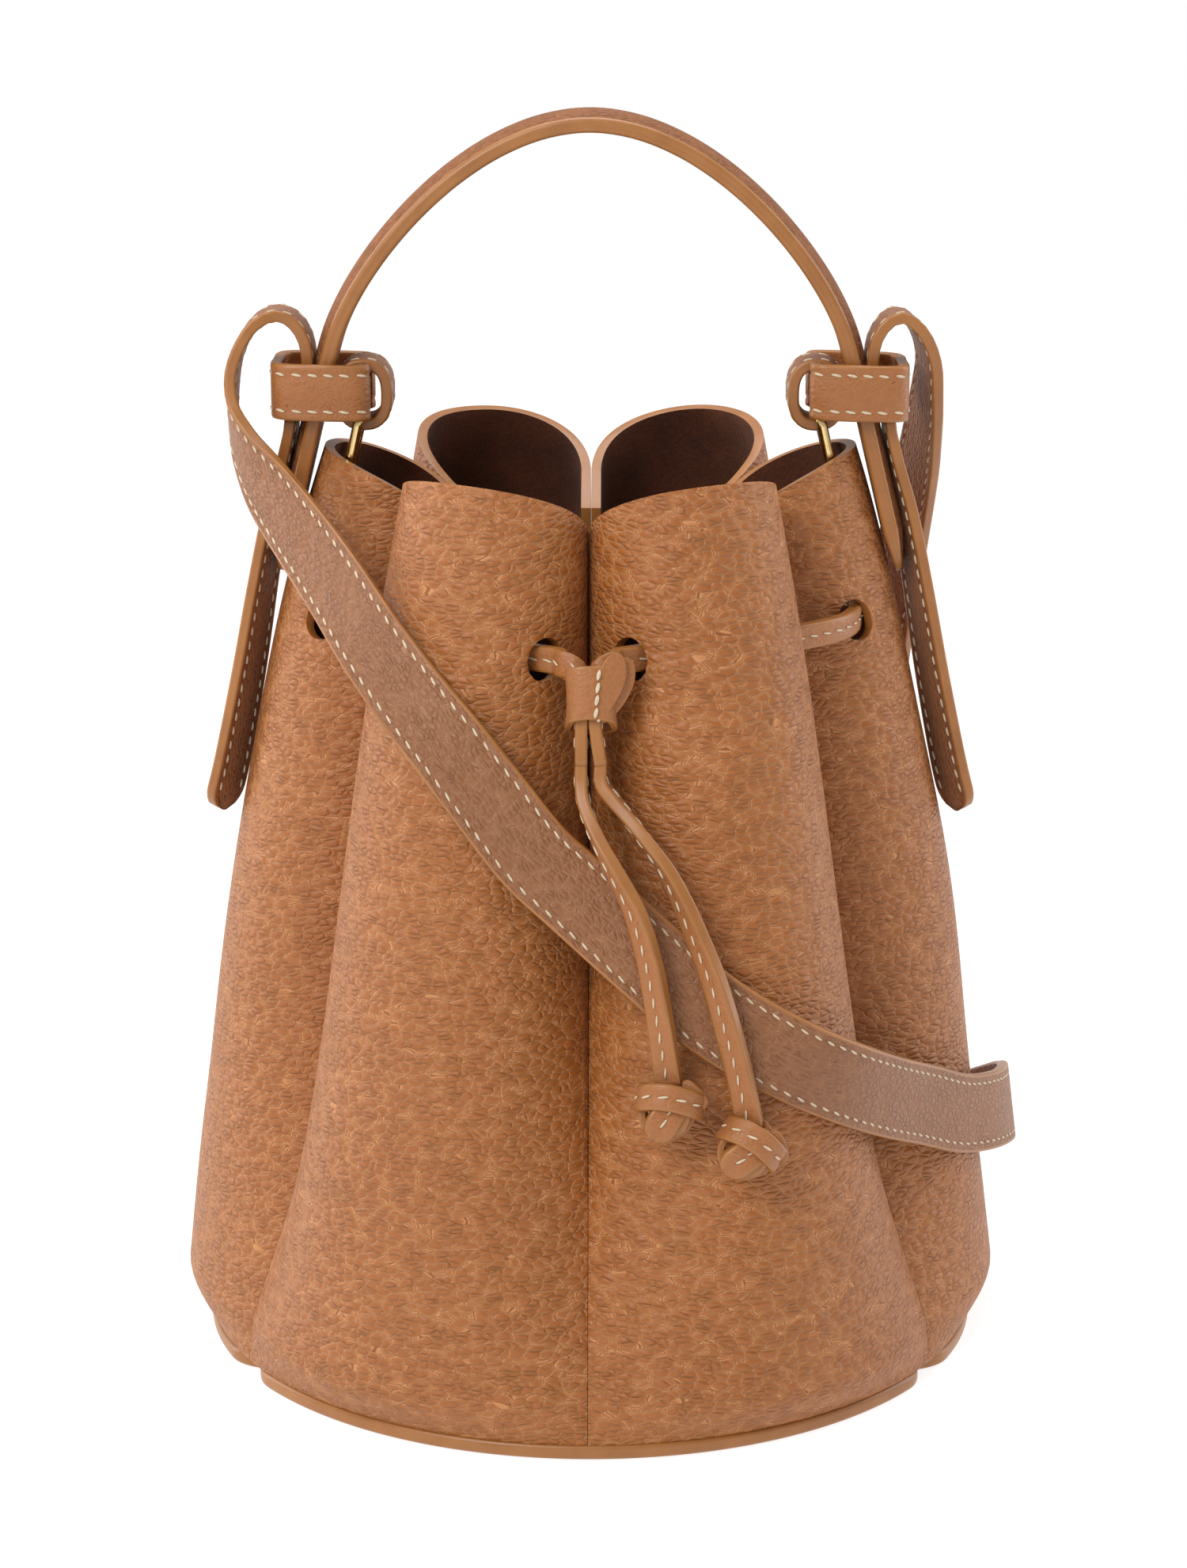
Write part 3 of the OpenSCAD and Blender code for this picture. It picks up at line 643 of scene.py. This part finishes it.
def handle():
    """Padded strip from one sewn foot over the arch to the other, flat at both ends."""
    right = [LEG_FOOT.lerp(LEG_TOP, share) for share in (0, 0.25, 0.5, 0.75)]
    right += [arch_point(i / 8) for i in range(9)]
    left = [Vector((-p.x, 0, p.z)) for p in right]
    points = left + right[-2::-1]
    run = Run([tuple(p) for p in points], [(0, -1, 0)] * len(points), step=1.5)
    half = [(7.5, -1.1), (7.55, -0.35), (7.4, 0.0), (7.55, 0.45), (7.45, 1.1), (7.0, 1.5),
            (6.1, 1.55), (5.5, 1.3), (4.9, 1.75), (3.6, 2.35), (1.9, 2.75), (0.0, 2.9)]
    section = [(a, h, a > 6.8) for a, h in half] + [(-a, h, a >= 7.0) for a, h in half[-2::-1]]
    section += [(-7.0, -1.45, False), (-3.5, -1.5, False), (0, -1.5, False), (3.5, -1.5, False),
                (7.0, -1.45, True)]

    def width(s):
        end = min(s, run.length - s)
        return rounded(end, 7.0, 0.08), min(1.0, end / 14 + 0.35)

    piece = sweep("handle_leather", run, section, None, shaded_handle_skin, width)
    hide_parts("handle", "handle_end_left", "handle_end_right")
    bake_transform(piece)


handle()

# --------------------------------------------------------------- the strap
# Course of the strap's middle line from the left knot to the right one, and its way across
STRAP_POINTS = [
    (-57, 0, 192), (-56, 0, 198), (-56.3, 0, 204.2), (-58.6, -0.3, 208.4), (-62.2, -0.8, 210),
    (-66.4, -1.8, 208), (-69.6, -3, 203), (-71, -4.2, 197), (-70.6, -6, 190.5),
    (-68.6, -9.5, 185), (-65.2, -14, 180), (-60.5, -21, 175), (-54, -31, 168.5),
    (-47.6, -41, 161.8), (-41, -50.5, 154), (-33.2, -57.6, 145), (-25.2, -62.6, 136),
    (-17.7, -64.8, 126.5), (-10.1, -66.4, 117), (-1.9, -67.6, 109.6), (5.5, -68.8, 103),
    (13, -69.8, 96.3), (21.2, -70.8, 89.1), (29.5, -71.2, 83.4), (39.2, -70.4, 77.8),
    (49.6, -63.9, 71.2), (58.8, -51, 63.8), (67, -36.8, 57), (75.9, -22.5, 50),
    (83.6, -8, 45.5), (87.8, 6, 42), (88.9, 20, 38), (87, 34, 32), (81.5, 48, 25), (72, 62, 18),
    (60, 74, 13), (45, 84, 10), (28, 91, 9), (10, 94.5, 8.8), (-8, 95.5, 8.8), (-26, 94, 8.8),
    (-44, 91, 8.8), (-60, 89.5, 8.8), (-72, 92, 8.8), (-78.5, 99.5, 8.8), (-75.5, 108.5, 8.8),
    (-65, 112.5, 8.8), (-48, 112, 8.8), (-28, 110, 8.8), (-6, 109, 8.8), (16, 107.5, 8.8),
    (32, 105, 9.1), (45.5, 99.5, 11.3), (54.5, 91.5, 17.5), (58.5, 82, 29), (59.8, 73, 44),
    (60.2, 65.8, 61), (60.2, 59.4, 79), (60.4, 53, 97), (61, 46.5, 115), (62.3, 40, 132),
    (64, 33, 148), (65.6, 25.6, 162), (66.9, 18, 174.5), (67.5, 11, 184.5), (67.8, 6, 193),
    (67.6, 3.2, 200.5), (65.4, 1.6, 206.4), (62, 1, 209.4), (58.8, 0.5, 208.4),
    (56.3, 0.1, 204.2), (56, 0, 198), (57, 0, 192)]
STRAP_ACROSS = ([(0, 1, 0)] * 8
    + [(-0.15, 0.98, -0.1), (-0.4, 0.87, -0.25), (-0.6, 0.68, -0.42), (-0.7, 0.4, -0.55),
       (-0.7, 0.1, -0.65), (-0.68, 0, -0.7)]
    + [(-0.64, -0.1, -0.76)] * 8 + [(-0.52, -0.14, -0.84)] * 3
    + [(-0.4, -0.18, -0.9), (-0.28, -0.25, -0.93), (-0.2, -0.3, -0.94), (-0.12, -0.3, -0.95),
       (0, -0.28, -0.96), (0.1, -0.26, -0.96), (0.1, -0.2, -0.97), (0.1, -0.1, -1)]
    + [(0, 0, -1)] * 19
    + [(0.15, 0, -0.98), (0.4, -0.15, -0.9), (0.6, -0.4, -0.65), (0.66, -0.6, -0.4),
       (0.68, -0.7, -0.2), (0.7, -0.72, 0), (0.7, -0.72, 0), (0.68, -0.73, 0), (0.65, -0.76, 0),
       (0.6, -0.8, 0), (0.54, -0.84, 0), (0.46, -0.88, 0), (0.38, -0.92, 0), (0.3, -0.95, 0),
       (0.2, -0.98, 0), (0.12, -1, 0), (0.05, -1, 0), (0, -1, 0), (0, -1, 0), (0, -1, 0),
       (0, -1, 0)])
END_W, FULL_W, STRAP_T, TAPER, SEAM_IN = 11.0, 16.0, 2.0, 190, 1.9
end_seam = END_W / 2 - SEAM_IN
end_section = strip_section(END_W / 2, STRAP_T / 2 + 0.1, (-end_seam, end_seam))


def strap_seams(name, run, offset, body, proud=SEAM_PROUD, length=2.0, thick=0.25, **rows):
    """The two rows of stitches along a strap, offset(s) either side of its middle line."""
    places = []
    for edge in (-1, 1):
        places += seam_places(run, lambda s: edge * offset(s), STRAP_T / 2 + proud, **rows)
    stitches(name, places, body, length, thick)


def near_edge(s):
    return end_seam


def shoulder_strap():
    """The long strap, which narrows towards both knots."""
    run = Run(STRAP_POINTS, STRAP_ACROSS, step=2.2)
    seam = FULL_W / 2 - SEAM_IN

    def half(s):
        t = min(1.0, min(s, run.length - s) / TAPER)
        return (END_W + (FULL_W - END_W) * t * t * (3 - 2 * t)) / 2

    section = strip_section(FULL_W / 2, STRAP_T / 2 + 0.15, (-seam, seam))
    piece = sweep("shoulder_strap", run, section, "bag", strap_skin,
                  width=lambda s: (half(s) / (FULL_W / 2), 1))
    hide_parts("strap")
    strap_seams("shoulder_strap_thread", run, lambda s: seam * half(s) / (FULL_W / 2), "bag")


shoulder_strap()


def strap_tail(side, word):
    """End of the strap below its knot, with a round tip, turning a little as it hangs."""
    xz = [(59.6, 189.6), (59.8, 186.6), (61, 180), (63.4, 170), (66.2, 155), (69.43, 137),
          (73.34, 118), (76, 108)]
    points = [(side * x, 0, z) for x, z in xz]
    turned = [math.radians(a) for a in (0, 2, 8, 15, 21, 26, 30, 32)]
    run = Run(points, [(math.sin(a), -side * math.cos(a), 0) for a in turned], step=1.2)
    piece = sweep("strap_tail_leather_" + word, run, end_section, "strap_tail_" + word,
                  strap_skin,
                  lambda s: (rounded(run.length - s, 5.5, 0.1), 1))
    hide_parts("strap_tail_" + word)
    strap_seams("strap_tail_thread_" + word, run, near_edge, "strap_tail_" + word,
                start=0.5, stop=run.length - 4)


def strap_loop(side, word):
    """Closed loop of the strap through its ring."""
    middle_x, middle_z, half_x, half_z, count = 44.9, 194.3, 4.6, 6.0, 24
    points = []
    for i in range(count + 1):
        a = math.radians(-90 + 360 * i / count)
        points.append((side * (middle_x + half_x * squarish(math.cos(a), 0.8)), 0,
                       middle_z + half_z * squarish(math.sin(a), 0.8)))
    run = Run(points, [(0, side, 0)] * len(points), step=0.8, closed=True)
    piece = sweep("strap_loop_leather_" + word, run, end_section, "bag",
                  strap_skin, closed=True)
    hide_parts("strap_loop_" + word)
    strap_seams("strap_loop_thread_" + word, run, near_edge, "bag",
                start=0, stop=run.length, both=False)


def strap_wrap(side, word):
    """Turn of the strap round the handle's leg, a little out of level."""
    front = [(45.0, -6.2), (44.4, -7.8), (45.4, -9.2), (48, -9.7), (53, -9.9), (58, -9.6),
             (60.8, -8.6), (62, -6.4)]
    xy = front + [(62, 0)] + [(x, -y) for x, y in reversed(front)]
    middle, slope = 195.4, 0.25 if side > 0 else -0.15
    points = [(side * x, y, middle + slope * (53 - x) / 8) for x, y in xy]
    run = Run(points, [(0, 0, -side)] * len(points), step=0.8)
    piece = sweep("strap_wrap_leather_" + word, run, end_section, "bag",
                  smooth_skin)
    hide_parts("strap_wrap_" + word)
    strap_seams("strap_wrap_thread_" + word, run, near_edge, "bag", 0.05, 2.2, 0.3,
                both=False, start=2)


for side, word in ((-1, "left"), (1, "right")):
    strap_tail(side, word)
    strap_loop(side, word)
    strap_wrap(side, word)


# ----------------------------------------------------------- the ring tabs
def ring_tab(side, word):
    """Leather tab folded over the ring's lower bar, both its ends down inside the petal."""
    bar = Vector((48.8, 0, 176.3))
    lean = math.radians(15)
    down = Vector((math.sin(lean), 0, -math.cos(lean)))
    off = Vector((math.cos(lean), 0, math.sin(lean)))
    r = 1.85
    points = [bar + off * r + down * d for d in (18.5, 10, 2)]
    for a in (0, 45, 90, 135, 180):
        a = math.radians(a)
        points.append(bar + off * r * math.cos(a) - down * r * math.sin(a))
    points.append(bar - off * r * 0.95 + down * 1.5)
    points += [bar + off * 0.5 + down * d for d in (5, 11, 18)]
    points = [(side * p.x, p.y, p.z) for p in points]
    run = Run(points, [(0, side, 0)] * len(points), step=0.8)
    piece = sweep("ring_tab_leather_" + word, run, strip_section(4.7, 0.6), "bag",
                  body_skin)
    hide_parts("ring_tab_" + word)


ring_tab(-1, "left")
ring_tab(1, "right")

# ---------------------------------------------------------- the drawstring
LACE_W, LACE_T, LACE_PITCH, KEEPER_L = 5.0, 2.4, 3.5, 12.0
TILT = math.radians(12)
keeper_axis = Vector((0, -math.sin(TILT), -math.cos(TILT)))
keeper_top = Vector((0, -57.77, LACE_H - 2))
LACE_X, DRIFT, PART = LACE_T / 2 + 0.1, 1.1, 16.6
SWING = PART + 0.5 + LACE_W / 2
lace_section = strip_section(LACE_W / 2, LACE_T / 2, (0.0,), groove=0.22)


def down_keeper(x, d):
    """Point in the keeper's own slope: x across, d down from its top."""
    return tuple(keeper_top + Vector((x, 0, 0)) + keeper_axis * d)


def hole_point(k, side):
    """Middle of a lace hole, halfway through the wall."""
    c, r, _ = arc_of(LACE_H)
    r -= WALL / 2
    turn = math.radians(60 * k)
    a = turn + side * math.radians(hole_angle(k))
    return (c * math.cos(turn) + r * math.cos(a), c * math.sin(turn) + r * math.sin(a), LACE_H)


def lace_run():
    """The drawstring from the keeper through the twelve holes and back to it."""
    walk = [hole_point(k, side) for k in (4, 3, 2, 1, 0, 5) for side in (1, -1)]
    points = [down_keeper(-LACE_X, PART), down_keeper(-LACE_X, 8.4), down_keeper(-LACE_X, 2),
              (-2.6, -56.9, 150.3), (-5.2, -54.6, 151.3)]
    points += walk
    points += [(5.2, -54.6, 151.3), (2.6, -56.9, 150.3), down_keeper(LACE_X, 2),
               down_keeper(LACE_X, 8.4), down_keeper(LACE_X + DRIFT, PART)]
    turn = [(0, 1, 0)] * 3 + [(0, 0.75, 0.65), (0, 0.35, 0.94)]
    across = turn + [(0, 0, 1)] * 12 + turn[::-1]
    run = Run(points, across, step=1.0)
    piece = sweep("lace_leather", run, lace_section, "bag", smooth_skin)
    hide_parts("lace")
    places = seam_places(run, 0.0, LACE_T / 2, pitch=LACE_PITCH)
    stitches("lace_thread", places, "bag", length=2.3, thick=0.22)


lace_run()
# Courses of the two free ends from below the keeper to their knots
END_LEFT = [(-0.8, -63.8, 126.8), (0.5, -66.2, 123.3), (2.4, -68.8, 119.6), (4.8, -71, 115.6),
            (7.2, -72.5, 111.4), (9.3, -73.6, 106.8), (11.4, -74.6, 99.6), (13, -75.2, 91),
            (14.3, -75.5, 82.5), (15.3, -76.4, 75)]
END_RIGHT = [(4.6, -63.3, 127.3), (7.6, -65.3, 124), (11, -67.6, 120), (14.4, -69.7, 115.5),
             (17.4, -71.5, 110), (20.3, -73.2, 103.5), (23.3, -74.7, 96), (25.6, -75.5, 88.5),
             (28.2, -76, 78.5), (30.7, -77, 67)]


def knot_strip(name, points, across, body, ends=2.2, wide=1.0, thick=1.0):
    """One turn of a knot, with both ends rounded. Gives its run and its piece."""
    run = Run(points, across, step=0.5)

    def width(s):
        return wide * rounded(min(s, run.length - s), ends, 0.15), thick

    return run, sweep(name, run, lace_section, body, smooth_skin, width)


# The turns of a knot from its middle: course, way across, round ends, width and thickness
KNOT_TURNS = {
    "band": ([(-4.2, 3.0, -0.6), (-5.4, 0.9, 0.1), (-4.9, -1.7, 1.3), (-2.7, -3.5, 2.3),
              (0.2, -4.1, 2.4), (2.9, -3.5, 1.6), (4.9, -1.7, 0.4), (5.4, 0.9, -0.7),
              (4.2, 3.0, -1.6)], (0.1, 0.3, 1), 2.2, 1.0, 1.0),
    "under": ([(-4.4, 1.8, 1.4), (-5.0, 1.0, -1.0), (-4.6, 0.4, -3.4), (-2.9, 0.0, -5.2),
               (-0.4, -0.2, -5.8), (2.0, 0.0, -5.0), (3.8, 0.4, -3.0), (4.3, 1.2, -0.4),
               (3.2, 1.8, 1.8)], (0, 1, 0.1), 2.2, 1.0, 0.62),
    "core": ([(0.2, 1.0, 3.0), (1.9, -0.2, 1.2), (2.7, -1.2, -0.8), (2.1, -1.6, -3.0),
              (0.4, -1.4, -4.2), (-1.4, -0.6, -4.0)], (0, 1, 0.2), 2.2, 1.0, 1.0),
    "tip": ([(2.0, 0.8, 3.0), (1.1, -1.4, 1.4), (0.0, -3.1, -0.4), (-1.1, -3.9, -2.4),
             (-1.9, -4.0, -4.2), (-2.6, -3.7, -6.0)], (-0.95, 0, 0.3), 2.9, 1.22, 1.0),
    "fold": ([(1.6, 0.6, 3.4), (3.2, -0.2, 2.6), (4.8, -0.6, 1.2), (5.9, -0.6, -0.6)],
             (0.5, 0.2, 0.85), 1.4, 0.8, 1.0),
    "back": ([(0, 1.4, 5.0), (0, 1.2, 2.6), (0, 1.8, 0.0), (0, 1.9, -3.4)],
             (1, 0, 0), 2.2, 1.0, 1.0),
}


def lace_knot(word, top, body, turn_by):
    """Overhand knot pulled tight: a band across the front, a turn under it, the core and a
    fold between them, the tip that comes out below, and the end that goes in at the back."""
    turn = Matrix.Rotation(math.radians(turn_by), 3, "Y")
    middle = top + Vector((0.2, -0.3, -3.3))
    made = {}
    for part, (points, way, ends, wide, thick) in KNOT_TURNS.items():
        made[part] = knot_strip("lace_knot_%s_%s" % (part, word),
                                [tuple(middle + turn @ Vector(p)) for p in points],
                                [tuple(turn @ Vector(way))] * len(points), body, ends, wide, thick)
    band_run, band_piece = made["band"]
    tip_run = made["tip"][0]
    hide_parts("lace_knot_" + word)
    places = seam_places(band_run, 0.0, LACE_T / 2 - 0.05, pitch=3.3)
    places += seam_places(tip_run, 0.0, LACE_T / 2 - 0.05, pitch=3.0, start=4.6,
                          stop=tip_run.length - 2.6)
    thread_piece = stitches("lace_knot_thread_" + word, places, body, length=2.2, thick=0.24)
    return [piece for _, piece in made.values()], thread_piece


def lace_end(word, x, tail, knot_turn):
    """Free end of the drawstring, from inside the keeper to its knot."""
    points = [down_keeper(x, SWING - 4.2), down_keeper(x, SWING)] + tail
    n = len(points)
    across = []
    for i in range(n):
        a = math.radians(75 * max(0, (i - 2) / (n - 3)))
        across.append((-math.sin(a), math.cos(a), 0))
    run = Run(points, across, step=1.0)
    body = "lace_end_" + word

    def width(s):
        fit = 0.94 + 0.06 * min(1, max(0, (s - 1.0) / 0.6))
        return fit, fit

    piece = sweep("lace_end_leather_" + word, run, lace_section, body,
                  smooth_skin, width)
    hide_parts("lace_end_" + word)
    places = seam_places(run, 0.0, LACE_T / 2, pitch=LACE_PITCH, start=2.6, stop=run.length - 1)
    stitches("lace_end_thread_" + word, places, body, length=2.3, thick=0.22)
    knot, knot_thread = lace_knot(word, Vector(tail[-1]), body, knot_turn)


lace_end("left", -LACE_X, END_LEFT, 4)
lace_end("right", LACE_X + DRIFT, END_RIGHT, 30)


# Outline of a keeper tab: across from the seam and up from the seam's lower end
TAB_OUTLINE = [(0, 0.3), (0.9, 0.2), (2.1, 1.4), (3.5, 3.5), (4.6, 5.9), (5.2, 8.3), (5.1, 10.6),
               (4.4, 12.2), (3.2, 12.9), (1.9, 12.3), (0.8, 10.9), (0, 9.2), (0, 6.4), (0, 3.2)]
TAB_T, TAB_ROUND, TAB_PITCH, KEEPER_T, KEEPER_RAKE, KEEPER_POINTS = 1.5, 0.42, 2.35, 1.3, 0.42, 28


def keeper_band(left, right, half_y):
    """Closed band round both laces, its front set lower than its back."""
    middle, half_x = (left + right) / 2, (right - left) / 2
    tilt = Matrix.Rotation(-TILT, 3, "X")
    centre = keeper_top + keeper_axis * (KEEPER_L / 2 - 1.6)
    points = []
    for i in range(KEEPER_POINTS + 1):
        a = math.radians(360 * i / KEEPER_POINTS - 180)
        x = middle + (half_x + KEEPER_T / 2) * squarish(math.cos(a), 0.7)
        y = (half_y + KEEPER_T / 2) * squarish(math.sin(a), 0.7)
        points.append(tuple(centre + tilt @ Vector((x, y, -y * KEEPER_RAKE))))
    run = Run(points, [tuple(-keeper_axis)] * len(points), step=0.7, closed=True)
    piece = sweep("keeper_band", run, strip_section(KEEPER_L / 2 - 1.0, KEEPER_T / 2), "keeper",
                  smooth_skin, closed=True)
    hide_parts("keeper")


def keeper_tab(layer, place):
    """One of the two layers that are sewn together in front of the band."""
    outline = spline(TAB_OUTLINE + TAB_OUTLINE[:1], 5)[:-1]
    bm = bmesh.new()
    face = bm.faces.new([bm.verts.new((x, 0, z)) for x, z in outline])
    extrude_rounded(bm, face, (0, TAB_T - 0.1, 0), TAB_ROUND, 3)
    uv = bm.loops.layers.uv.new("UVMap")
    for f in bm.faces:
        f.material_index = 0 if len(f.verts) > 4 else 1
        for loop in f.loops:
            loop[uv].uv = (loop.vert.co.x * MM, loop.vert.co.z * MM)
    lie = (Matrix.Translation((1.3 * layer, layer * TAB_T, -0.5 * layer))
           @ Matrix.Rotation(0.09 * layer, 4, "Y"))
    bmesh.ops.transform(bm, matrix=Matrix.Scale(MM, 4) @ place @ lie, verts=bm.verts)
    add_piece("keeper_tab_%d" % layer, bm, "keeper", [smooth_skin, edge_paint])


def keeper():
    """The loop that slides on both laces: a band, two tab layers and their stitches."""
    left = -(LACE_X + LACE_T / 2 + 0.3)
    right = -left + DRIFT
    half_y = LACE_W / 2 + 0.3
    keeper_band(left, right, half_y)
    root = Vector((right - 2.4, -half_y - KEEPER_T - 0.15, 4.0 - KEEPER_L))
    turn = Matrix.Rotation(math.radians(14), 4, "Z") @ Matrix.Rotation(math.radians(4), 4, "Y")
    place = (Matrix.Translation(keeper_top) @ Matrix.Rotation(-TILT, 4, "X")
             @ Matrix.Translation(root) @ turn)
    keeper_tab(0, place)
    keeper_tab(1, place)
    facing = place.to_3x3()
    right_way, back_way, up_way = facing.col[0], facing.col[1], facing.col[2]
    places = [(place @ Vector((-0.15, -0.25, 8.4 - TAB_PITCH * i)), right_way, -back_way, up_way)
              for i in range(4)]
    places.append((place @ Vector((0.7, 0.9, 0.05)), right_way, -up_way, back_way))
    stitches("keeper_thread", places, "keeper", length=2.1, thick=0.4)


keeper()

# ------------------------------------------------- CAD pieces that stay
KEPT = (("ring_left", gold), ("ring_right", gold), ("insole", suede), ("base_board", suede))
for node, material in KEPT:
    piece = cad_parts[node]
    piece.data.materials.clear()
    piece.data.materials.append(material)
    piece.data.shade_smooth()

# ------------------------------------------------------- floor and lights
bm = bmesh.new()
bmesh.ops.create_grid(bm, x_segments=2, y_segments=2, size=6)
floor_mesh = bpy.data.meshes.new("floor")
bm.to_mesh(floor_mesh)
bm.free()
floor = bpy.data.objects.new("floor", floor_mesh)
floor.location = (0, 0, -0.0002)
bpy.context.scene.collection.objects.link(floor)
floor_material, _, _, floor_shader = new_material("pale floor")
set_inputs(floor_shader, {"Base Color": (0.3, 0.3, 0.3, 1), "Emission Color": (1, 1, 1, 1),
                          "Emission Strength": 0.82, "Roughness": 0.9})
floor_mesh.materials.append(floor_material)

world = bpy.data.worlds.new("studio")
world.use_nodes = True
sky_nodes, sky_links = world.node_tree.nodes, world.node_tree.links
sky_nodes["Background"].inputs[0].default_value = (1, 1, 1, 1)
seen = sky_nodes.new("ShaderNodeLightPath")
level = sky_nodes.new("ShaderNodeMapRange")
set_inputs(level, {"To Min": 0.5, "To Max": 1.0})
sky_links.new(seen.outputs["Is Camera Ray"], level.inputs["Value"])
sky_links.new(level.outputs[0], sky_nodes["Background"].inputs[1])
bpy.context.scene.world = world


def softbox(name, place, aim, size, power):
    """Rectangular area light at place, turned to face aim. Sizes in metres, power in watts."""
    data = bpy.data.lights.new(name, "AREA")
    data.shape = "RECTANGLE"
    data.size, data.size_y = size
    data.energy = power
    light = bpy.data.objects.new(name, data)
    light.location = place
    light.rotation_euler = (Vector(aim) - Vector(place)).to_track_quat("-Z", "Y").to_euler()
    bpy.context.scene.collection.objects.link(light)


softbox("key", (-0.55, -0.85, 0.9), (0, 0, 0.1), (0.6, 0.6), 9.3)
softbox("left rim", (-0.85, 0.3, 0.4), (0, 0, 0.12), (0.4, 1.0), 5)
softbox("right rim", (0.85, 0.3, 0.4), (0, 0, 0.12), (0.4, 1.0), 3.8)
softbox("top", (0, 0.25, 1.0), (0, 0, 0.1), (0.7, 0.5), 5)
bpy.context.scene.view_settings.view_transform = "Standard"
